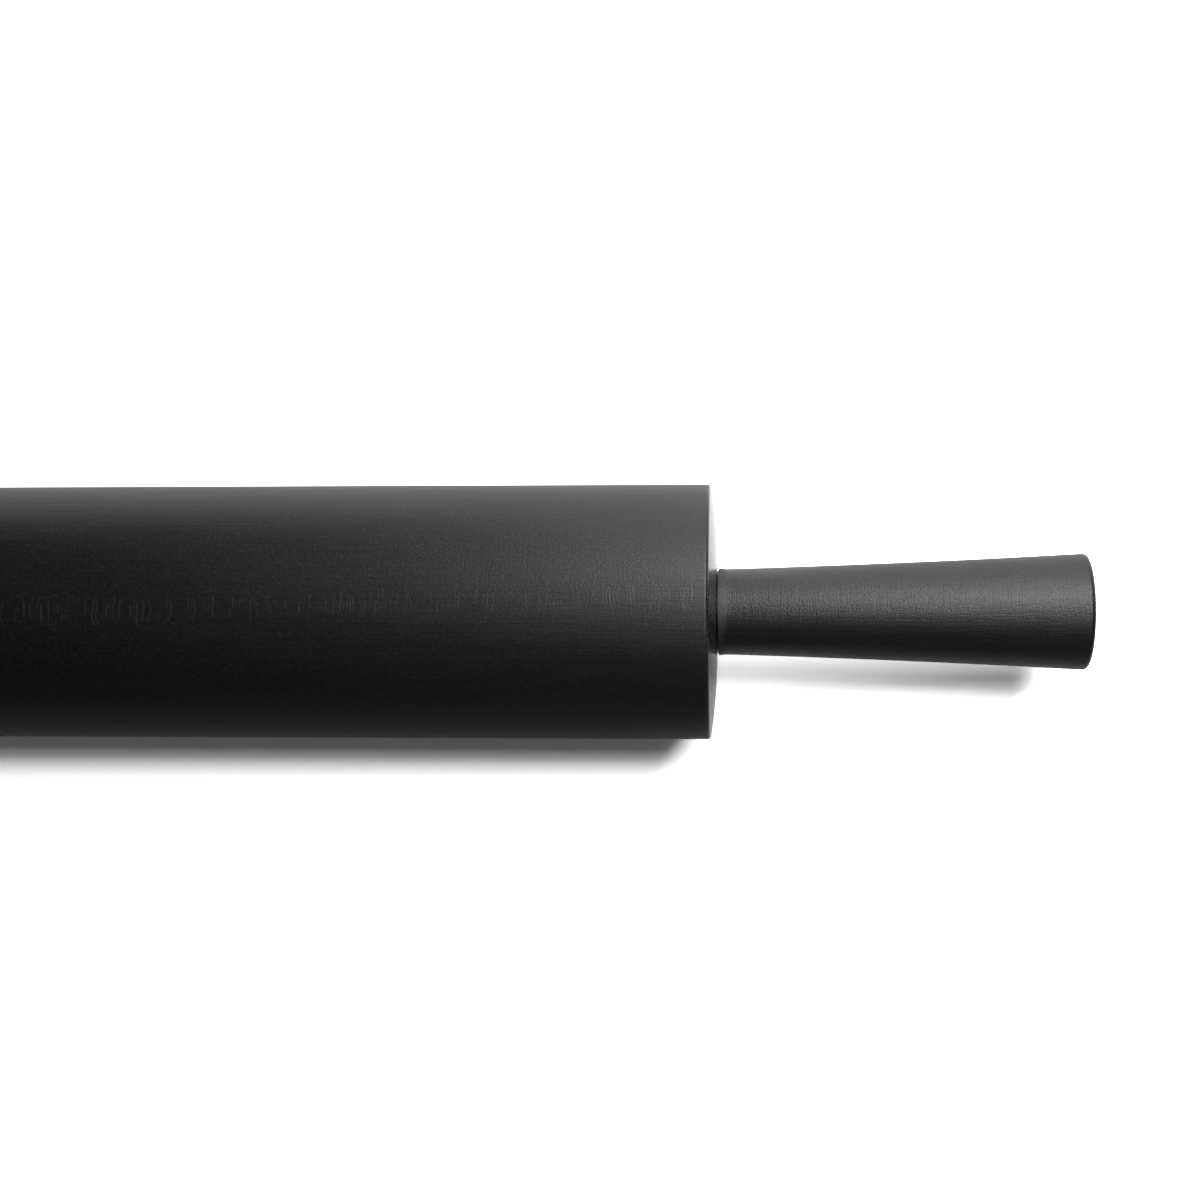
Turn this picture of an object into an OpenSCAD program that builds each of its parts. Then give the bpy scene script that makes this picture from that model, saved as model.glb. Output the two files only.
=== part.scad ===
// Ball-bearing rolling pin, turned from black-stained hardwood
// The pin lies along X with its middle at the origin, and both of its ends are alike

/* [Barrel] */
// Diameter of the barrel
barrel_d = 60; // [50:1:80]
// Length of the barrel from rim to rim
barrel_len = 280; // [180:5:400]
// How far each end face bulges past its rim
dome_rise = 1.3; // [0.6:0.1:3]
// Radius on the edge of each rim
rim_round = 0.9; // [0.4:0.1:2]
// Diameter of the bore that the axle passes through
axle_bore_d = 12; // [10:0.5:13.5]
// Width of the flat seat that the end face has beyond the neck
seat_margin = 0.4; // [0.2:0.1:1.5]

/* [Handles] */
// Diameter of the neck, next to the barrel
neck_d = 20.1; // [19.6:0.1:26]
// Diameter across the far end
handle_end_d = 27.1; // [23:0.1:36]
// Length of each handle
handle_len = 85.6; // [60:0.2:140]
// Share of the flare that is a straight cone, while the rest opens like a trumpet
flare_cone_share = 0.65; // [0.3:0.05:1]
// Radius on the edge of the far end
handle_end_round = 1.25; // [0.5:0.05:3]
// Height of the small lip round the foot of the neck
neck_lip = 0.25; // [0.1:0.05:0.6]
// Length over which that lip fades into the neck
neck_lip_len = 2.4; // [1:0.1:5]

/* [Axle] */
// Diameter of the steel axle
axle_d = 8; // [7:0.1:8.6]
// Length of axle inside each handle
axle_grip = 22; // [19:0.5:40]
// Chamfer on each end of the axle
axle_chamfer = 0.8; // [0.3:0.1:1.5]

/* [Handle inserts] */
// Outside diameter of the brass insert
insert_d = 12; // [11:0.1:14]
// Length of the insert
insert_len = 18; // [10:0.5:18.5]
// Depth of the grip grooves round the insert
insert_groove = 0.4; // [0.2:0.05:0.7]
// Number of grip grooves round the insert
insert_groove_count = 5; // [2:1:6]
// Width of each of those grooves
insert_groove_w = 1.2; // [0.6:0.1:1.4]

/* [Ball bearings] */
// Width of each bearing
bearing_w = 5; // [4.8:0.1:7]
// Wall of each race at its shoulders
race_wall = 1.4; // [1.2:0.05:1.6]
// Space between the shoulders of the two races
race_space = 1.2; // [1.1:0.05:1.4]
// Diameter of each ball
ball_d = 2.381; // [2.2:0.001:2.5]
// Number of balls in each bearing
ball_count = 9; // [6:1:9]
// Chamfer on the outer edges of the races
race_chamfer = 0.3; // [0.1:0.05:0.4]
// Thickness of each dust shield
shield_t = 0.3; // [0.2:0.05:0.35]
// Depth of the seat that holds a shield's rim in the outer race
shield_seat = 0.35; // [0.2:0.05:0.45]
// How far each shield lies below the face of its race
shield_recess = 0.1; // [0.05:0.05:0.15]

/* [Ball cages] */
// Wall of the cage, across the ring
cage_wall = 0.8; // [0.6:0.05:0.85]
// Thickness of the cage's back behind the balls
cage_back = 0.4; // [0.25:0.05:0.5]
// How far the fingers reach past the middle of the balls
cage_reach = 0.6; // [0.4:0.05:0.8]
// Width of the slit between neighbouring fingers
finger_slit = 0.7; // [0.4:0.05:0.9]
// Depth of that slit
finger_slit_depth = 1.1; // [0.6:0.05:1.3]

/* [Bearing cups] */
// Wall of the cup round the bearing
cup_wall = 1.2; // [0.8:0.05:1.5]
// Thickness of the cup's floor
cup_floor = 1.2; // [0.9:0.1:2]
// How far the floor reaches in behind the outer race
cup_ledge = 1; // [0.6:0.05:1.3]
// How far the cup's mouth lies below the end face of the barrel
cup_setback = 0.3; // [0.2:0.05:0.8]
// Depth of the grip grooves round the cup
cup_groove = 0.3; // [0.1:0.05:0.5]
// Width of each of those grooves
cup_groove_w = 0.8; // [0.4:0.1:1]
// Number of grip grooves round the cup
cup_groove_count = 3; // [1:1:3]

/* [Neck washers and retaining rings] */
// Thickness of the washer that faces the barrel
washer_t = 0.3; // [0.2:0.05:0.8]
// How far the washer's edge lies inside the neck
washer_setback = 0.3; // [0.1:0.05:0.8]
// Thickness of the retaining ring
ring_t = 0.8; // [0.6:0.05:1]
// Width of the ring's band
ring_band = 1.5; // [1.2:0.05:1.7]
// Depth of the groove that holds the ring in the axle
ring_groove = 0.4; // [0.3:0.05:0.6]
// Width of the ring's opening
ring_opening = 4.4; // [3:0.1:5.5]

/* [Fits] */
// Gap left round a piece that is pressed or glued in
seat_fit = 0.01; // [0.005:0.005:0.03]
// Gap between the axle and what slides onto it
axle_fit = 0.01; // [0.005:0.005:0.03]
// Gap between a ball and its raceway
ball_play = 0.02; // [0.01:0.005:0.04]
// Gap between a ball and its pocket in the cage
pocket_play = 0.06; // [0.03:0.01:0.1]
// Gap between a shield and the inner race
shield_play = 0.12; // [0.08:0.01:0.2]
// Gap between the end face of the barrel and the washer
running_gap = 0.15; // [0.1:0.05:0.4]
// Gap between the retaining ring and the inboard side of its groove
ring_play = 0.05; // [0.02:0.01:0.1]
// Gap round the axle's end beyond the insert
pilot_gap = 0.25; // [0.1:0.05:0.6]
// Gap beyond the axle's tip
tip_gap = 2; // [0.5:0.5:6]

/* [Hidden] */

// Overrun of every cut
cut = 1;
// Facets of the round shapes, and steps of an edge radius and of a long curve
$fn = 96;
edge_steps = 8;
curve_steps = 28;

// Colours
stained_wood = [0.13, 0.13, 0.13];
bright_steel = [0.72, 0.73, 0.75];
dark_steel = [0.34, 0.35, 0.37];
yellow_brass = [0.78, 0.62, 0.3];
white_nylon = [0.86, 0.85, 0.8];
amber_nylon = [0.62, 0.36, 0.16];
black_nylon = [0.05, 0.05, 0.05];

// Radii, from the axle outwards
axle_r = axle_d / 2;
inner_bore_r = axle_r + axle_fit;
inner_land_r = inner_bore_r + race_wall;
pitch_r = inner_land_r + race_space / 2;
outer_land_r = inner_land_r + race_space;
bearing_r = outer_land_r + race_wall;
shield_seat_r = outer_land_r + shield_seat;
cup_bore_r = bearing_r + seat_fit;
cup_r = cup_bore_r + cup_wall;
counterbore_r = cup_r + seat_fit;
barrel_r = barrel_d / 2;
neck_r = neck_d / 2;
seat_r = neck_r + seat_margin;
insert_r = insert_d / 2;
ring_groove_r = axle_r - ring_groove;

// Length of handle that flares, up to the rounded edge of its far end
flare_len = handle_len - handle_end_round;

// Places along the pin, from its middle outwards
rim_x = barrel_len / 2;
end_face_x = rim_x + dome_rise;
cup_mouth_x = end_face_x - cup_setback;
bearing_x = cup_mouth_x - bearing_w / 2;
cup_floor_x = cup_mouth_x - bearing_w;
cup_back_x = cup_floor_x - cup_floor;
washer_x = end_face_x + running_gap;
handle_x = washer_x + washer_t;
axle_end_x = handle_x + axle_grip;

// Turns a shape that is drawn along Z so that it lies along X
module along_pin() {
    rotate([0, 90, 0]) children();
}

// Mirrors what belongs to the right-hand end to the left-hand end
module left_end() {
    mirror([1, 0, 0]) children();
}

// Points on a quarter of a circle that rounds an outer edge, from its side to its end face
function edge_arc(r, z, round) = [
    for (i = [0:edge_steps])
        let (a = 90 * i / edge_steps)
            [r - round + round * cos(a), z - round + round * sin(a)]
];

// Height of the domed end face above the rim, at a radius
function dome_height(r) =
    let (span = barrel_r - rim_round - seat_r, out = (r - seat_r) / span)
        dome_rise * (1 - out * out);

// Outline of one end of the barrel, from the rim's edge to the flat seat at the neck
function barrel_end() = concat(
    edge_arc(barrel_r, rim_x, rim_round),
    [
        for (i = [1:curve_steps])
            let (r = barrel_r - rim_round - (barrel_r - rim_round - seat_r) * i / curve_steps)
                [r, rim_x + dome_height(r)]
    ]
);

// Turned roller with domed ends, bored through and counterbored for a cup at each end
module barrel() {
    profile = barrel_end();
    far_side = [for (i = [len(profile) - 1:-1:0]) [profile[i].x, -profile[i].y]];
    color(stained_wood) along_pin() difference() {
        rotate_extrude() polygon(concat([[0, -end_face_x]], far_side, profile, [[0, end_face_x]]));
        cylinder(r = axle_bore_d / 2, h = 2 * (end_face_x + cut), center = true);
        for (side = [0, 1]) mirror([0, 0, side])
            translate([0, 0, cup_back_x]) cylinder(r = counterbore_r, h = end_face_x - cup_back_x + cut);
    }
}

// Even row of ring-shaped grooves round a turned piece, from z0 to z1
module grip_grooves(r, depth, width, count, z0, z1) {
    pitch = (z1 - z0) / count;
    for (i = [0:count - 1]) translate([0, 0, z0 + pitch * (i + 0.5) - width / 2]) difference() {
        cylinder(r = r + cut, h = width);
        translate([0, 0, -cut]) cylinder(r = r - depth, h = width + 2 * cut);
    }
}

// Moulded cup that holds the bearing, with a ledge behind the outer race only
module bearing_cup() {
    color(white_nylon) along_pin() difference() {
        translate([0, 0, cup_back_x]) cylinder(r = cup_r, h = cup_mouth_x - cup_back_x);
        translate([0, 0, cup_floor_x]) cylinder(r = cup_bore_r, h = bearing_w + cut);
        translate([0, 0, cup_back_x - cut]) cylinder(r = bearing_r - cup_ledge, h = cup_floor + 2 * cut);
        grip_grooves(cup_r, cup_groove, cup_groove_w, cup_groove_count, cup_floor_x, cup_mouth_x);
    }
}

// Ring-shaped raceway that the balls roll in, taken out of both races
module raceway() {
    rotate_extrude() translate([pitch_r, 0]) circle(r = ball_d / 2 + ball_play);
}

// Outer race, with a groove for the balls and a seat for a shield at each face
module outer_race() {
    half = bearing_w / 2;
    seat = half - shield_t - shield_recess;
    color(bright_steel) along_pin() translate([0, 0, bearing_x]) difference() {
        rotate_extrude() polygon([
            [outer_land_r, -seat],
            [shield_seat_r, -seat],
            [shield_seat_r, -half],
            [bearing_r - race_chamfer, -half],
            [bearing_r, -half + race_chamfer],
            [bearing_r, half - race_chamfer],
            [bearing_r - race_chamfer, half],
            [shield_seat_r, half],
            [shield_seat_r, seat],
            [outer_land_r, seat]
        ]);
        raceway();
    }
}

// Inner race, grooved for the balls, on the axle
module inner_race() {
    half = bearing_w / 2;
    color(bright_steel) along_pin() translate([0, 0, bearing_x]) difference() {
        rotate_extrude() polygon([
            [inner_bore_r + race_chamfer, -half],
            [inner_land_r, -half],
            [inner_land_r, half],
            [inner_bore_r + race_chamfer, half],
            [inner_bore_r, half - race_chamfer],
            [inner_bore_r, -half + race_chamfer]
        ]);
        raceway();
    }
}

// Puts one copy of a shape at each ball, with a turn of half a space where it belongs between balls
module at_each_ball(turn = 0) {
    for (i = [0:ball_count - 1]) rotate([0, 0, (i + turn) * 360 / ball_count])
        translate([pitch_r, 0, 0]) children();
}

// Ring of loose steel balls
module balls() {
    color(bright_steel) along_pin() translate([0, 0, bearing_x])
        at_each_ball() sphere(r = ball_d / 2);
}

// Crown cage: a ring whose spherical pockets snap over the balls, with a slit between neighbouring fingers
module ball_cage() {
    back = -ball_d / 2 - cage_back;
    color(amber_nylon) along_pin() translate([0, 0, bearing_x]) difference() {
        translate([0, 0, back]) cylinder(r = pitch_r + cage_wall / 2, h = cage_reach - back);
        translate([0, 0, back - cut]) cylinder(r = pitch_r - cage_wall / 2, h = cage_reach - back + 2 * cut);
        at_each_ball() sphere(r = ball_d / 2 + pocket_play);
        at_each_ball(turn = 0.5) translate([-cage_wall, -finger_slit / 2, cage_reach - finger_slit_depth])
            cube([2 * cage_wall, finger_slit, finger_slit_depth + cut]);
    }
}

// Pair of thin shields that close the bearing against flour
module shields() {
    color(dark_steel) along_pin() translate([0, 0, bearing_x])
        for (side = [0, 1]) mirror([0, 0, side])
            translate([0, 0, bearing_w / 2 - shield_recess - shield_t]) difference() {
                cylinder(r = shield_seat_r - seat_fit, h = shield_t);
                translate([0, 0, -cut]) cylinder(r = inner_land_r + shield_play, h = shield_t + 2 * cut);
            }
}

// Steel rod through the barrel, chamfered at its ends and grooved for a retaining ring behind each bearing
module axle() {
    side = [
        [axle_r - axle_chamfer, axle_end_x],
        [axle_r, axle_end_x - axle_chamfer],
        [axle_r, cup_floor_x],
        [ring_groove_r, cup_floor_x],
        [ring_groove_r, cup_floor_x - ring_t - ring_play],
        [axle_r, cup_floor_x - ring_t - ring_play]
    ];
    far_side = [for (i = [len(side) - 1:-1:0]) [side[i].x, -side[i].y]];
    color(bright_steel) along_pin()
        rotate_extrude() polygon(concat([[0, axle_end_x]], side, far_side, [[0, -axle_end_x]]));
}

// Flat snap ring with an opening, sprung into the axle's groove against the inner race
module retaining_ring() {
    inner_r = ring_groove_r + seat_fit;
    color(dark_steel) along_pin() translate([0, 0, cup_floor_x - ring_t]) difference() {
        cylinder(r = inner_r + ring_band, h = ring_t);
        translate([0, 0, -cut]) cylinder(r = inner_r, h = ring_t + 2 * cut);
        translate([0, -ring_opening / 2, -cut]) cube([inner_r + ring_band + cut, ring_opening, ring_t + 2 * cut]);
    }
}

// Black washer against the handle, whose nose clamps the inner race
module neck_washer() {
    color(black_nylon) along_pin() difference() {
        union() {
            translate([0, 0, washer_x]) cylinder(r = neck_r - washer_setback, h = washer_t);
            translate([0, 0, cup_mouth_x]) cylinder(r = inner_land_r, h = washer_x - cup_mouth_x);
        }
        translate([0, 0, cup_mouth_x - cut]) cylinder(r = inner_bore_r, h = handle_x - cup_mouth_x + 2 * cut);
    }
}

// Brass insert in the foot of the handle, which the axle's end screws into
module handle_insert() {
    color(yellow_brass) along_pin() difference() {
        translate([0, 0, handle_x]) cylinder(r = insert_r, h = insert_len);
        translate([0, 0, handle_x - cut]) cylinder(r = inner_bore_r, h = insert_len + 2 * cut);
        grip_grooves(insert_r, insert_groove, insert_groove_w, insert_groove_count, handle_x, handle_x + insert_len);
    }
}

// Radius of the handle at a distance from its foot: a cone that opens like a trumpet, with a lip at the foot
function handle_r(s) =
    let (
        along = s / flare_len,
        flare = flare_cone_share * along + (1 - flare_cone_share) * along * along,
        lip = s < neck_lip_len ? 1 - s / neck_lip_len : 0
    )
        neck_r + (handle_end_d / 2 - neck_r) * flare + neck_lip * lip * lip;

// Turned handle, bored at its foot for the insert and the axle's end
module handle() {
    lip_side = [for (i = [0:edge_steps - 1]) let (s = neck_lip_len * i / edge_steps) [handle_r(s), s]];
    flare_side = [
        for (i = [0:curve_steps - 1])
            let (s = neck_lip_len + (flare_len - neck_lip_len) * i / curve_steps)
                [handle_r(s), s]
    ];
    far_edge = edge_arc(handle_end_d / 2, handle_len, handle_end_round);
    color(stained_wood) along_pin() translate([0, 0, handle_x]) difference() {
        rotate_extrude() polygon(concat([[0, 0]], lip_side, flare_side, far_edge, [[0, handle_len]]));
        translate([0, 0, -cut]) cylinder(r = insert_r + seat_fit, h = insert_len + cut);
        translate([0, 0, -cut]) cylinder(r = axle_r + pilot_gap, h = axle_grip + tip_gap + cut);
    }
}

barrel();
left_end() bearing_cup();  // bearing_cup_left
bearing_cup();  // bearing_cup_right
left_end() outer_race();  // outer_race_left
outer_race();  // outer_race_right
left_end() inner_race();  // inner_race_left
inner_race();  // inner_race_right
left_end() balls();  // balls_left
balls();  // balls_right
left_end() ball_cage();  // ball_cage_left
ball_cage();  // ball_cage_right
left_end() shields();  // shields_left
shields();  // shields_right
axle();
left_end() retaining_ring();  // retaining_ring_left
retaining_ring();  // retaining_ring_right
left_end() neck_washer();  // neck_washer_left
neck_washer();  // neck_washer_right
left_end() handle_insert();  // handle_insert_left
handle_insert();  // handle_insert_right
left_end() handle();  // handle_left
handle();  // handle_right
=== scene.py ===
import math

import bpy
from mathutils import Matrix, Vector


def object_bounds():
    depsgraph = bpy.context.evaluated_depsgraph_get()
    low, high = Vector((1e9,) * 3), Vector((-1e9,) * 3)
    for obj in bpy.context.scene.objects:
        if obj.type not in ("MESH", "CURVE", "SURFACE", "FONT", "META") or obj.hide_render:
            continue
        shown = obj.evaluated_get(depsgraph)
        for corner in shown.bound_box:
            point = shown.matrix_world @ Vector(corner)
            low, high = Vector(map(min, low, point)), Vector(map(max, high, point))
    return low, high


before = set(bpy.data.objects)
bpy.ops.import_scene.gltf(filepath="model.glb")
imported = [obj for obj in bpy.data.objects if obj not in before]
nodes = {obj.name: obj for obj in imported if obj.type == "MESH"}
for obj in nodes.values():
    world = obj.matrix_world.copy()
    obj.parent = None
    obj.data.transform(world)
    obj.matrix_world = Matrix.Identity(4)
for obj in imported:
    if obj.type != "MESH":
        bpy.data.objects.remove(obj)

cad_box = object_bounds()

# Barrel
# The roller is one billet of fine-grained maple, turned between centres, sanded along the grain, stained black
# and oiled to a satin sheen. Its rays show as short pale ticks, its fibres spread the light across the barrel
# more than along it, and its two end faces show end grain.


def new_group(name, inputs, outputs):
    """Empty shader group. Inputs give each name its starting value, or None for a place; outputs are names."""
    group = bpy.data.node_groups.new(name, "ShaderNodeTree")
    for label, value in inputs.items():
        kind = "NodeSocketVector" if value is None else "NodeSocketFloat"
        socket = group.interface.new_socket(label, in_out="INPUT", socket_type=kind)
        if value is not None:
            socket.default_value = value
    for label in outputs:
        group.interface.new_socket(label, in_out="OUTPUT", socket_type="NodeSocketFloat")
    return group, group.nodes.new("NodeGroupInput").outputs, group.nodes.new("NodeGroupOutput").inputs


def put(tree, value, socket):
    """Gives a socket its value: a link when the value is a socket, else a plain number or colour."""
    if isinstance(value, bpy.types.NodeSocket):
        tree.links.new(value, socket)
    else:
        socket.default_value = value


def reckon(tree, operation, *values):
    """One Math node on numbers or sockets."""
    node = tree.nodes.new("ShaderNodeMath")
    node.operation = operation
    for value, socket in zip(values, node.inputs):
        put(tree, value, socket)
    return node.outputs[0]


def step(tree, value, start, end, low=0.0, high=1.0):
    """Smooth change from low to high while the value goes from start to end."""
    node = tree.nodes.new("ShaderNodeMapRange")
    node.interpolation_type = "SMOOTHSTEP"
    for setting, socket in zip((value, start, end, low, high), node.inputs):
        put(tree, setting, socket)
    return node.outputs[0]


def split(tree, vector):
    """The three parts of a vector."""
    node = tree.nodes.new("ShaderNodeSeparateXYZ")
    tree.links.new(vector, node.inputs[0])
    return node.outputs


def mottle(tree, place, per_metre, detail=2.0):
    """Soft noise from 0 to 1 with so many blotches per metre along X, Y and Z."""
    stretched = tree.nodes.new("ShaderNodeVectorMath")
    stretched.operation = "MULTIPLY"
    tree.links.new(place, stretched.inputs[0])
    stretched.inputs[1].default_value = per_metre
    texture = tree.nodes.new("ShaderNodeTexNoise")
    texture.inputs["Scale"].default_value = 1.0
    texture.inputs["Detail"].default_value = detail
    tree.links.new(stretched.outputs[0], texture.inputs["Vector"])
    return texture.outputs[0]


def swing(tree, value, amount):
    """Turns 0 to 1 into minus half to plus half the amount, which is a number or a socket."""
    return reckon(tree, "MULTIPLY", reckon(tree, "SUBTRACT", value, 0.5), amount)


def of_kind(sockets, label, kind):
    """A Mix node has a socket of the same name for each kind of value; this is the one that is in use."""
    return [socket for socket in sockets if socket.name == label and socket.type == kind][0]


def blend(tree, mask, first, second, kind="RGBA"):
    """Goes from the first to the second as the mask goes from 0 to 1: two colours, or two directions."""
    node = tree.nodes.new("ShaderNodeMix")
    node.data_type = kind
    put(tree, mask, node.inputs["Factor"])
    for value, label in ((first, "A"), (second, "B")):
        put(tree, (*value, 1.0) if isinstance(value, tuple) else value, of_kind(node.inputs, label, kind))
    return of_kind(node.outputs, "Result", kind)


def material_on(name, parts, roughness, metallic=0.0, specular=0.5):
    """New material on CAD nodes; returns its tree, its shader and the piece's own coordinates."""
    material = bpy.data.materials.new(name)
    material.use_nodes = True
    for part in parts:
        nodes[part].data.materials.clear()
        nodes[part].data.materials.append(material)
    tree = material.node_tree
    shader = tree.nodes["Principled BSDF"]
    shader.inputs["Roughness"].default_value = roughness
    shader.inputs["Metallic"].default_value = metallic
    shader.inputs["Specular IOR Level"].default_value = specular
    return tree, shader, tree.nodes.new("ShaderNodeTexCoord").outputs


def use(tree, group, **inputs):
    """Places a shared effect in a material; returns its outputs."""
    node = tree.nodes.new("ShaderNodeGroup")
    node.node_tree = group
    for label, value in inputs.items():
        put(tree, value, node.inputs[label])
    return node.outputs


def relief(tree, shader, height, depth):
    """Bump of a real depth in metres on a shader's normal."""
    bump = tree.nodes.new("ShaderNodeBump")
    bump.inputs["Strength"].default_value = 1.0
    bump.inputs["Distance"].default_value = depth
    tree.links.new(height, bump.inputs["Height"])
    tree.links.new(bump.outputs[0], shader.inputs["Normal"])


# The wood's rays run from its heart to its bark. Where they lie flat in the skin, along the top and the bottom of
# the barrel, they show as short pale ticks across the grain, each a little bowed. They stand in a line that runs
# out of the grain slightly, a pitch apart, and each has its own strength, length and place from a fixed order.
RAY_WOBBLE = 0.0012
RAY_SIDESTEP = 0.0028

ray_flecks, given, out = new_group(
    "ray_flecks", {"Place": None, "Pitch": 0.00078, "Bow": 800.0, "Reach": 0.0042, "Run Out": 0.027}, ["Ticks"])
tree = ray_flecks
place = split(tree, given["Place"])
lean = swing(tree, mottle(tree, given["Place"], per_metre=(90, 0, 0), detail=1.0), given["Bow"])
wobble = swing(tree, mottle(tree, given["Place"], per_metre=(200, 300, 0), detail=1.0), RAY_WOBBLE)
off_line = reckon(tree, "SUBTRACT", place["Y"], reckon(tree, "MULTIPLY", place["X"], given["Run Out"]))
bow = reckon(tree, "MULTIPLY_ADD", reckon(tree, "MULTIPLY", off_line, off_line), lean, wobble)
count = reckon(tree, "DIVIDE", reckon(tree, "ADD", place["X"], bow), given["Pitch"])
dice = tree.nodes.new("ShaderNodeTexWhiteNoise")
dice.noise_dimensions = "1D"
put(tree, reckon(tree, "FLOOR", count), dice.inputs["W"])
chance = split(tree, dice.outputs["Color"])
from_middle = reckon(tree, "ABSOLUTE", reckon(tree, "SUBTRACT", reckon(tree, "FRACT", count), 0.5))
stroke = step(tree, from_middle, start=0.1, end=0.3, low=1.0, high=0.0)
strength = step(tree, chance["X"], start=0.1, end=1.1)
crumbs = step(tree, mottle(tree, given["Place"], per_metre=(500, 900, 0), detail=1.0),
              start=0.3, end=0.5, low=0.35, high=1.0)
from_centre = reckon(tree, "ABSOLUTE", reckon(tree, "ADD", off_line, swing(tree, chance["Y"], RAY_SIDESTEP)))
half = reckon(tree, "MULTIPLY", given["Reach"], reckon(tree, "MULTIPLY_ADD", chance["Z"], 0.5, 0.25))
inside = step(tree, from_centre, start=reckon(tree, "MULTIPLY", half, 0.8), end=half, low=1.0, high=0.0)
put(tree, reckon(tree, "MULTIPLY", reckon(tree, "MULTIPLY", stroke, strength),
                 reckon(tree, "MULTIPLY", crumbs, inside)), out["Ticks"])

# Fibres, pores and the dust of sanding: long and short streaks, a worm-like mottle, grit and a few pale flecks.
LONG_STREAKS = 0.65
SHORT_STREAKS = 0.35

wood_fibre, given, out = new_group("wood_fibre", {"Place": None}, ["Streaks", "Worms", "Grit", "Flecks"])
tree = wood_fibre
long_streaks = mottle(tree, given["Place"], per_metre=(45, 2200, 2200), detail=3.0)
short_streaks = mottle(tree, given["Place"], per_metre=(260, 5200, 5200))
worms = mottle(tree, given["Place"], per_metre=(1300, 1550, 1550))
flecks = mottle(tree, given["Place"], per_metre=(800, 2600, 2600), detail=0.0)
put(tree, reckon(tree, "MULTIPLY_ADD", long_streaks, LONG_STREAKS,
                 reckon(tree, "MULTIPLY", short_streaks, SHORT_STREAKS)), out["Streaks"])
put(tree, step(tree, worms, start=0.46, end=0.64), out["Worms"])
put(tree, mottle(tree, given["Place"], per_metre=(2800, 3300, 3300), detail=1.0), out["Grit"])
put(tree, step(tree, flecks, start=0.79, end=0.84), out["Flecks"])

# End grain: growth rings seen as wide arcs about a heart below the pin, and open pores.
RING_WOBBLE = 0.0016


def distance_from_axis(tree, first, second):
    """Length of the line from an axis to a place, from the place's two distances beside that axis."""
    return reckon(tree, "SQRT", reckon(tree, "ADD", reckon(tree, "POWER", first, 2.0),
                                       reckon(tree, "POWER", second, 2.0)))


end_grain, given, out = new_group(
    "end_grain", {"Place": None, "Facing": 0.0, "Heart Depth": 0.07, "Ring Width": 0.0021},
    ["Mask", "Rings", "Pores"])
tree = end_grain
place = split(tree, given["Place"])
radius = distance_from_axis(tree, place["Y"], reckon(tree, "ADD", place["Z"], given["Heart Depth"]))
wobble = swing(tree, mottle(tree, given["Place"], per_metre=(120, 120, 120)), RING_WOBBLE)
ring = reckon(tree, "FRACT", reckon(tree, "DIVIDE", reckon(tree, "ADD", radius, wobble), given["Ring Width"]))
pores = mottle(tree, given["Place"], per_metre=(900, 4200, 4200), detail=1.0)
put(tree, step(tree, ring, start=0.0, end=1.0), out["Rings"])
put(tree, step(tree, pores, start=0.62, end=0.72), out["Pores"])
put(tree, step(tree, reckon(tree, "ABSOLUTE", given["Facing"]), start=0.45, end=0.8), out["Mask"])

STAIN_DARK = (0.0003, 0.0003, 0.0003)
STAIN_PALE = (0.0064, 0.0064, 0.0063)
STAIN_RAY = (0.022, 0.022, 0.0217)
STAIN_FLECK = (0.017, 0.0168, 0.0164)
RING_SHADE = 0.3
WOOD_ROUGHNESS = 0.448
STREAK_GLOSS = 0.2
RAY_GLOSS = 0.05
LATHE_GLOSS = 0.1
GRIT_GLOSS = 0.16
PORE_GLOSS = 0.25
FOOT_START = 0.1424
FOOT_END = 0.144
WOOD_SHEEN_LEVEL = 0.62
FIBRE_SPREAD = 0.535
WORM_HEIGHT = 0.1
RAY_HEIGHT = 0.08
SKIN_DEPTH = 0.00008


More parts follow.
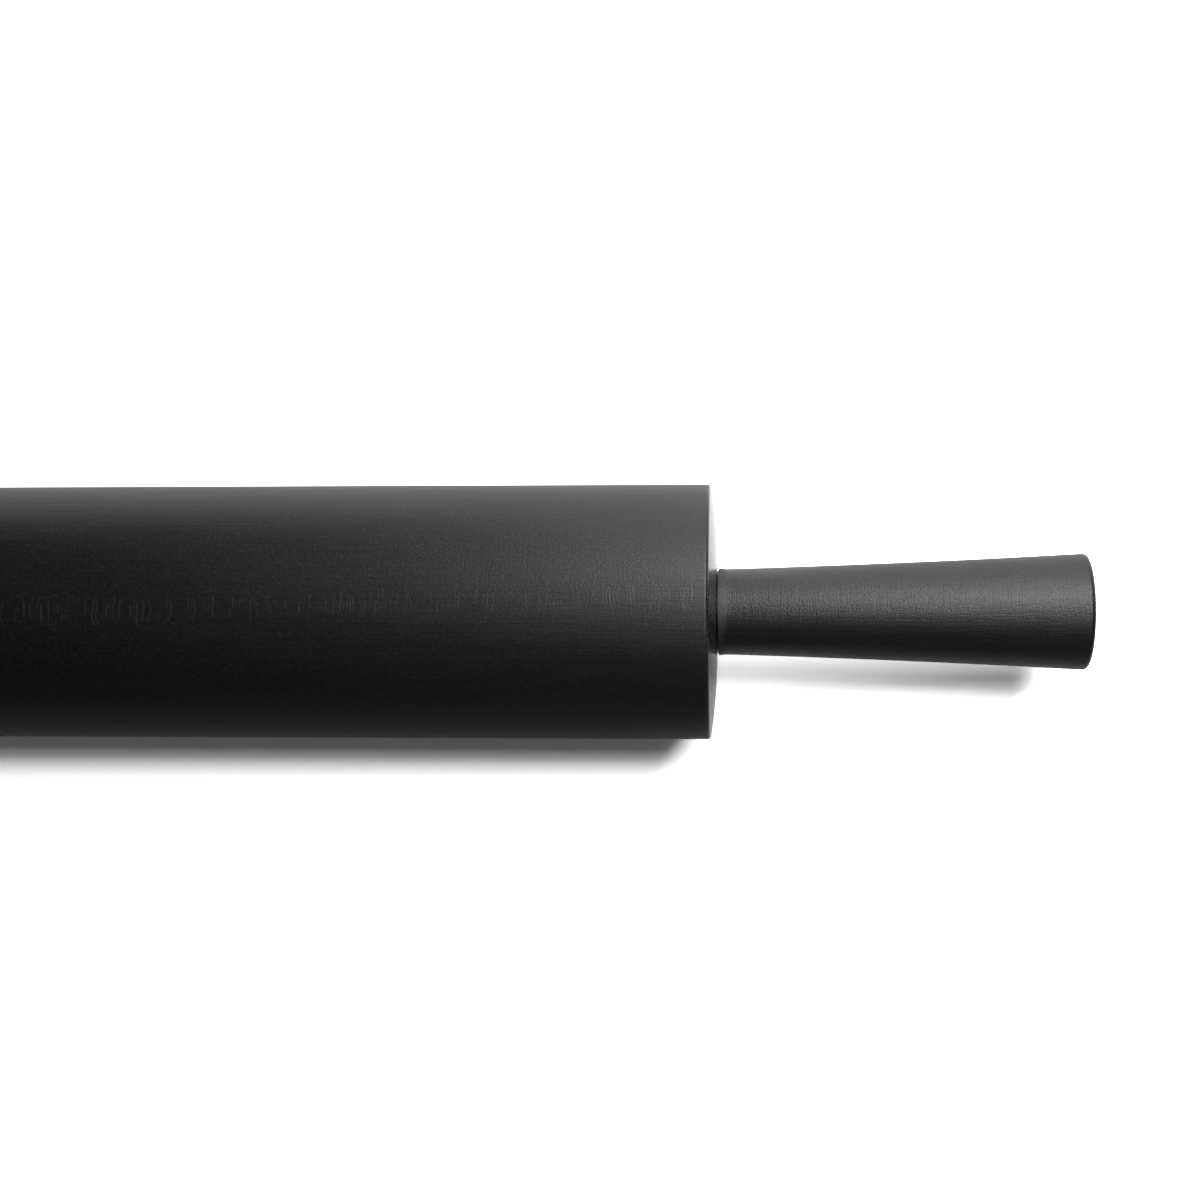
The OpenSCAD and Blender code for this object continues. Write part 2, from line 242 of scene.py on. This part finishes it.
def stained_wood(name, parts, streaks, flecks, worms, grit, turning, end_roughness, foot_dullness=0.0):
    """Black-stained maple, with the strengths of its streaks, flecks, worms, grit and turning marks."""
    tree, shader, coords = material_on(name, parts, WOOD_ROUGHNESS, specular=WOOD_SHEEN_LEVEL)
    place = coords["Object"]
    rays = use(tree, ray_flecks, Place=place)
    fibre = use(tree, wood_fibre, Place=place)
    cut = use(tree, end_grain, Place=place, Facing=split(tree, coords["Normal"])["X"])
    side = reckon(tree, "SUBTRACT", 1.0, cut["Mask"])
    ray = reckon(tree, "MULTIPLY", reckon(tree, "MULTIPLY", rays["Ticks"], side), flecks)
    lathe_marks = mottle(tree, place, per_metre=(2600, 260, 260), detail=1.0)

    ringed = reckon(tree, "MULTIPLY", cut["Rings"], reckon(tree, "MULTIPLY", cut["Mask"], RING_SHADE))
    pale = reckon(tree, "MULTIPLY_ADD", fibre["Worms"], worms, ringed)
    stain = blend(tree, pale, STAIN_DARK, STAIN_PALE)
    stain = blend(tree, ray, stain, STAIN_RAY)
    stain = blend(tree, reckon(tree, "MULTIPLY", fibre["Flecks"], side), stain, STAIN_FLECK)
    tree.links.new(stain, shader.inputs["Base Color"])

    gloss = reckon(tree, "ADD", WOOD_ROUGHNESS, swing(tree, fibre["Streaks"], STREAK_GLOSS))
    gloss = reckon(tree, "SUBTRACT", gloss, reckon(tree, "MULTIPLY", ray, RAY_GLOSS))
    # polishing can't reach into the corner at the neck, so the foot of a handle stays dull
    inward = reckon(tree, "ABSOLUTE", split(tree, place)["X"])
    gloss = reckon(tree, "ADD", gloss, step(tree, inward, FOOT_START, FOOT_END, low=foot_dullness, high=0.0))
    gloss = reckon(tree, "ADD", gloss, swing(tree, lathe_marks, LATHE_GLOSS * turning))
    gloss = reckon(tree, "ADD", gloss, swing(tree, fibre["Grit"], GRIT_GLOSS * grit))
    end_gloss = reckon(tree, "MULTIPLY_ADD", cut["Pores"], PORE_GLOSS, end_roughness)
    mixed = reckon(tree, "ADD", reckon(tree, "MULTIPLY", gloss, side),
                   reckon(tree, "MULTIPLY", end_gloss, cut["Mask"]))
    tree.links.new(mixed, shader.inputs["Roughness"])

    skin = reckon(tree, "MULTIPLY_ADD", fibre["Streaks"], streaks,
                  reckon(tree, "MULTIPLY", fibre["Worms"], WORM_HEIGHT * worms))
    for height, weight in ((fibre["Grit"], grit), (lathe_marks, turning), (ray, RAY_HEIGHT)):
        skin = reckon(tree, "ADD", skin, reckon(tree, "MULTIPLY", height, weight))
    skin = reckon(tree, "SUBTRACT", reckon(tree, "MULTIPLY", skin, side),
                  reckon(tree, "MULTIPLY", cut["Pores"], cut["Mask"]))
    relief(tree, shader, skin, SKIN_DEPTH)

    # the gloss spreads round the piece, across its fibres, and on the ends outward, across the turned rings
    around = tree.nodes.new("ShaderNodeTangent")
    around.direction_type = "RADIAL"
    around.axis = "X"
    outward = tree.nodes.new("ShaderNodeVectorMath")
    outward.operation = "CROSS_PRODUCT"
    put(tree, tree.nodes.new("ShaderNodeNewGeometry").outputs["True Normal"], outward.inputs[0])
    put(tree, around.outputs[0], outward.inputs[1])
    spread = blend(tree, cut["Mask"], around.outputs[0], outward.outputs[0], kind="VECTOR")
    tree.links.new(spread, shader.inputs["Tangent"])
    shader.inputs["Anisotropic"].default_value = FIBRE_SPREAD


stained_wood("barrel_wood", ["barrel"], streaks=0.6, flecks=1.0, worms=0.65, grit=0.14, turning=0.1,
             end_roughness=0.24)

# Bearing cups
# Each end of the barrel is bored out and holds a cup moulded in natural nylon, pressed in, which carries the
# outer ring of a ball bearing. The moulded skin has a soft mottle and a low gloss.

FLOW_GLOSS = 0.12

moulded_skin, given, out = new_group("moulded_skin", {"Place": None}, ["Flow", "Peel"])
tree = moulded_skin
put(tree, mottle(tree, given["Place"], per_metre=(160, 90, 90)), out["Flow"])
put(tree, mottle(tree, given["Place"], per_metre=(1900, 1900, 1900), detail=1.0), out["Peel"])


def moulded(name, parts, dark, pale, roughness, peel):
    """Moulded nylon whose colour drifts between two shades and whose skin is slightly uneven."""
    tree, shader, coords = material_on(name, parts, roughness)
    skin = use(tree, moulded_skin, Place=coords["Object"])
    drift = step(tree, skin["Flow"], start=0.35, end=0.65)
    tree.links.new(blend(tree, drift, dark, pale), shader.inputs["Base Color"])
    tree.links.new(reckon(tree, "ADD", roughness, swing(tree, skin["Flow"], FLOW_GLOSS)),
                   shader.inputs["Roughness"])
    relief(tree, shader, skin["Peel"], peel)


moulded("cup_nylon", ["bearing_cup_left", "bearing_cup_right"],
        dark=(0.66, 0.64, 0.575), pale=(0.76, 0.74, 0.685), roughness=0.42, peel=0.000015)

# Bearing rings
# An inner and an outer ring of hardened bearing steel, 8 by 16 by 5 mm, with ground sides and a polished groove.
# Grinding leaves very fine rings round the bore.

BLUR_GLOSS = 0.5

turned_marks, given, out = new_group("turned_marks", {"Place": None, "Pitch": 0.00022}, ["Rings", "Blur"])
tree = turned_marks
place = split(tree, given["Place"])
along = reckon(tree, "ADD", distance_from_axis(tree, place["Y"], place["Z"]), place["X"])
turns = reckon(tree, "MULTIPLY", reckon(tree, "DIVIDE", along, given["Pitch"]), 2 * math.pi)
rise = reckon(tree, "MULTIPLY_ADD", reckon(tree, "SINE", turns), 0.5, 0.5)
unevenness = mottle(tree, given["Place"], per_metre=(500, 500, 500))
put(tree, reckon(tree, "MULTIPLY", rise, unevenness), out["Rings"])
put(tree, unevenness, out["Blur"])


def machined(name, parts, dark, pale, roughness, marks, pitch):
    """Bare metal with turning or grinding rings: two shades, a middle roughness, depth and pitch of the rings."""
    tree, shader, coords = material_on(name, parts, roughness, metallic=1.0)
    rings = use(tree, turned_marks, Place=coords["Object"], Pitch=pitch)
    tree.links.new(blend(tree, rings["Blur"], dark, pale), shader.inputs["Base Color"])
    tree.links.new(reckon(tree, "ADD", roughness, swing(tree, rings["Blur"], BLUR_GLOSS * roughness)),
                   shader.inputs["Roughness"])
    relief(tree, shader, rings["Rings"], marks)


machined("bearing_steel", ["outer_race_left", "outer_race_right", "inner_race_left", "inner_race_right"],
         dark=(0.54, 0.55, 0.57), pale=(0.66, 0.67, 0.69), roughness=0.2, marks=0.000002, pitch=0.00018)

# Balls
# Nine balls run in the groove of each bearing. They are of hardened bearing steel, ground round and polished
# almost to a mirror.

machined("ball_steel", ["balls_left", "balls_right"],
         dark=(0.63, 0.64, 0.66), pale=(0.73, 0.74, 0.76), roughness=0.07, marks=0.0000002, pitch=0.0004)

# Ball cages
# A crown cage keeps the balls of each bearing apart. It is moulded in amber nylon, and its fingers snap over the
# balls from one side.

moulded("cage_nylon", ["ball_cage_left", "ball_cage_right"],
        dark=(0.33, 0.12, 0.034), pale=(0.46, 0.2, 0.07), roughness=0.36, peel=0.00001)

# Dust shields
# Two rings of thin rolled steel sheet close each bearing and keep flour out of the balls. They are stamped, and
# pressed into the outer ring.

machined("shield_steel", ["shields_left", "shields_right"],
         dark=(0.36, 0.37, 0.39), pale=(0.48, 0.49, 0.51), roughness=0.34, marks=0.000003, pitch=0.0003)

# Axle
# A bar of bright drawn steel runs through the barrel and screws into both handles. Drawing leaves fine straight
# lines along it.

AXLE_DARK = (0.42, 0.43, 0.45)
AXLE_PALE = (0.58, 0.59, 0.61)
AXLE_ROUGHNESS = 0.3
DRAWN_GLOSS = 0.2
DRAWN_DEPTH = 0.000006

tree, shader, coords = material_on("axle_steel", ["axle"], AXLE_ROUGHNESS, metallic=1.0)
drawn = mottle(tree, coords["Object"], per_metre=(22, 2600, 2600), detail=3.0)
tree.links.new(blend(tree, drawn, AXLE_DARK, AXLE_PALE), shader.inputs["Base Color"])
tree.links.new(reckon(tree, "ADD", AXLE_ROUGHNESS, swing(tree, drawn, DRAWN_GLOSS)), shader.inputs["Roughness"])
relief(tree, shader, drawn, DRAWN_DEPTH)

# Retaining rings
# A snap ring of phosphated spring steel sits in a groove of the axle behind each bearing. The phosphate coat is a
# dull dark grey of fine crystals.

PHOSPHATE_DARK = (0.06, 0.064, 0.075)
PHOSPHATE_PALE = (0.125, 0.13, 0.15)
PHOSPHATE_ROUGHNESS = 0.52
CRYSTAL_GLOSS = 0.25
CRYSTAL_DEPTH = 0.000006

tree, shader, coords = material_on("spring_steel", ["retaining_ring_left", "retaining_ring_right"],
                                   PHOSPHATE_ROUGHNESS, metallic=1.0)
crystals = mottle(tree, coords["Object"], per_metre=(5200, 5200, 5200))
tree.links.new(blend(tree, crystals, PHOSPHATE_DARK, PHOSPHATE_PALE), shader.inputs["Base Color"])
tree.links.new(reckon(tree, "ADD", PHOSPHATE_ROUGHNESS, swing(tree, crystals, CRYSTAL_GLOSS)),
               shader.inputs["Roughness"])
relief(tree, shader, crystals, CRYSTAL_DEPTH)

# Neck washers
# A thin washer moulded in black nylon sits between the barrel and each handle. It is clamped to the handle and
# leaves a hairline gap, in which the barrel turns.

moulded("washer_nylon", ["neck_washer_left", "neck_washer_right"],
        dark=(0.004, 0.004, 0.004), pale=(0.009, 0.009, 0.009), roughness=0.5, peel=0.00001)

# Handle inserts
# A turned brass insert is pressed into each handle's blind bore, and the axle's end screws into it. The lathe
# leaves fine rings on it.

machined("insert_brass", ["handle_insert_left", "handle_insert_right"],
         dark=(0.55, 0.36, 0.11), pale=(0.69, 0.48, 0.18), roughness=0.26, marks=0.000004, pitch=0.00025)

# Handles
# Two handles of the same black-stained maple, turned with a slim neck and a flare to a flat end, and screwed on to
# the axle. The tool left fine marks round them that the sanding kept, and their skin shows no rays.

stained_wood("handle_wood", ["handle_left", "handle_right"], streaks=1.0, flecks=0.0, worms=0.2, grit=0.62,
             turning=0.36, end_roughness=0.3, foot_dullness=0.12)

# Floor
# A flat sheet of white paper under the pin, which isn't part of it. Seen directly it is lifted to white, and the
# pin's shadow stays on it. For the pin's gloss its colour is painted by place, which paints the pin's reflections:
# white behind the pin, painted shade in front of it, and a painted pool of light beside the right handle's foot.

FLOOR_SIZE = 12.0
FLOOR_LIFT = 3.8
FLOOR_PLAIN = 0.8
# tones of the paper seen only in the pin's gloss: painted light behind the pin, painted shade in front of it
PAINTED_LIGHT_MIRRORED_BACK = 1.35
PAINTED_SHADE_MIRRORED_FRONT = 0.28
# painted pool of light on the paper beside the right handle's foot, seen only in the pin's gloss
PAINTED_LIGHT_MIRRORED_FOOT = 0.4
FRONT_EDGE = -0.075
BACK_EDGE = -0.005
FOOT_LIT_FROM = 0.137
FOOT_LIT_FULL = 0.142
FOOT_LIT_FADES = 0.156
FOOT_LIT_END = 0.175
NEAR_FLOOR = 0.4
FAR_FLOOR = 0.8

bpy.ops.mesh.primitive_plane_add(size=FLOOR_SIZE, location=(0, 0, cad_box[0].z))
floor = bpy.context.object
floor.name = "floor"
paper = bpy.data.materials.new("floor_paper")
paper.use_nodes = True
tree = paper.node_tree
tree.nodes.clear()
ray = tree.nodes.new("ShaderNodeLightPath").outputs
place = tree.nodes.new("ShaderNodeTexCoord").outputs["Object"]
across_floor = split(tree, place)


def diffuse(tree, grey):
    """Matt paper of one grey, a number or a socket."""
    node = tree.nodes.new("ShaderNodeBsdfDiffuse")
    colour = grey if isinstance(grey, bpy.types.NodeSocket) else (grey, grey, grey, 1.0)
    put(tree, colour, node.inputs["Color"])
    return node.outputs[0]


def mix_shaders(tree, mask, first, second):
    """Shader that goes from the first to the second as the mask goes from 0 to 1."""
    node = tree.nodes.new("ShaderNodeMixShader")
    for value, socket in zip((mask, first, second), node.inputs):
        put(tree, value, socket)
    return node.outputs[0]


# painted reflection: the paper as the pin's gloss sees it is painted dark in front of the pin and bright behind it
painted_reflection_tone = step(tree, across_floor["Y"], FRONT_EDGE, BACK_EDGE, low=PAINTED_SHADE_MIRRORED_FRONT, high=PAINTED_LIGHT_MIRRORED_BACK)
# painted light: a band of the paper beside the right handle's foot is painted brighter for the pin's reflections
painted_foot_light = reckon(tree, "MULTIPLY", step(tree, across_floor["X"], FOOT_LIT_FROM, FOOT_LIT_FULL),
              step(tree, across_floor["X"], FOOT_LIT_FADES, FOOT_LIT_END, low=1.0, high=0.0))
painted_reflection_tone = reckon(tree, "MULTIPLY", painted_reflection_tone, reckon(tree, "MULTIPLY_ADD", painted_foot_light, PAINTED_LIGHT_MIRRORED_FOOT, 1.0))
surface = mix_shaders(tree, ray["Is Glossy Ray"], diffuse(tree, FLOOR_PLAIN), diffuse(tree, painted_reflection_tone))
surface = mix_shaders(tree, ray["Is Camera Ray"], surface, diffuse(tree, FLOOR_LIFT))
distance = tree.nodes.new("ShaderNodeVectorMath")
distance.operation = "LENGTH"
tree.links.new(place, distance.inputs[0])
far = reckon(tree, "MULTIPLY", step(tree, distance.outputs["Value"], NEAR_FLOOR, FAR_FLOOR),
             ray["Is Camera Ray"])
surface = mix_shaders(tree, far, surface, tree.nodes.new("ShaderNodeEmission").outputs[0])
tree.links.new(surface, tree.nodes.new("ShaderNodeOutputMaterial").inputs["Surface"])
floor.data.materials.append(paper)

# Lights
# One large softbox up behind the pin and to the right, a smaller one nearly overhead with a brighter middle, which
# gives the shadow its soft edge, and a low white wall behind the pin. Each one's tilt is taken from the vertical
# at the middle of the view, in degrees towards +X and towards +Y. The room itself is dim.

VIEW_MIDDLE = Vector((0.12, 0, 0))


def softbox(name, across, away, distance, width, height, radiance):
    """Area lamp aimed at the middle of the view, its width along the pin. The camera doesn't see the lamp."""
    aim = Vector((math.tan(math.radians(across)), math.tan(math.radians(away)), 1)).normalized()
    along = (Vector((1, 0, 0)) - aim * aim.x).normalized()
    data = bpy.data.lights.new(name, "AREA")
    data.shape = "RECTANGLE"
    data.size = width
    data.size_y = height
    data.energy = radiance * math.pi * width * height
    lamp = bpy.data.objects.new(name, data)
    bpy.context.scene.collection.objects.link(lamp)
    lamp.location = VIEW_MIDDLE + aim * distance
    lamp.rotation_mode = "QUATERNION"
    lamp.rotation_quaternion = Matrix((along, aim.cross(along), aim)).transposed().to_quaternion()
    lamp.visible_camera = False


softbox("softbox", across=21.8, away=38.3, distance=0.85, width=0.543, height=0.39, radiance=8.85)
softbox("top_light", across=16, away=13.1, distance=0.85, width=0.4, height=0.2, radiance=5.8)
softbox("top_light_middle", across=16, away=13.6, distance=0.85, width=0.35, height=0.1, radiance=10.9)
softbox("back_wall", across=19, away=78, distance=1.4, width=0.5, height=0.8, radiance=2.7)

WORLD_DIM = 0.034
world = bpy.data.worlds.new("studio")
bpy.context.scene.world = world
world.use_nodes = True
tree = world.node_tree
tree.nodes.clear()
room = tree.nodes.new("ShaderNodeBackground")
room.inputs["Color"].default_value = (WORLD_DIM, WORLD_DIM, WORLD_DIM, 1.0)
white = tree.nodes.new("ShaderNodeBackground")
white.inputs["Color"].default_value = (1.0, 1.0, 1.0, 1.0)
seen = mix_shaders(tree, tree.nodes.new("ShaderNodeLightPath").outputs["Is Camera Ray"],
                   room.outputs[0], white.outputs[0])
tree.links.new(seen, tree.nodes.new("ShaderNodeOutputWorld").inputs["Surface"])

# Camera
# It looks almost straight down from 0.44 m above the axle, over the right end of the barrel, as the photograph
# does. It is shifted sideways only as far as the framing needs.

SENSOR = 36.0
FOCAL_PIXELS = 1866
FRAME_PIXELS = 1200
CAMERA_PLACE = (0.150, 0, 0.440)
CAMERA_TILT = 3.4
SHIFT_ALONG = -0.036
SHIFT_ACROSS = 0.0098

camera_data = bpy.data.cameras.new("camera")
camera_data.sensor_width = SENSOR
camera_data.lens = SENSOR * FOCAL_PIXELS / FRAME_PIXELS
camera_data.shift_x = SHIFT_ALONG
camera_data.shift_y = SHIFT_ACROSS
camera = bpy.data.objects.new("camera", camera_data)
bpy.context.scene.collection.objects.link(camera)
camera.location = CAMERA_PLACE
camera.rotation_euler = (0, math.radians(CAMERA_TILT), 0)
bpy.context.scene.camera = camera

bpy.context.scene.view_settings.view_transform = "Standard"
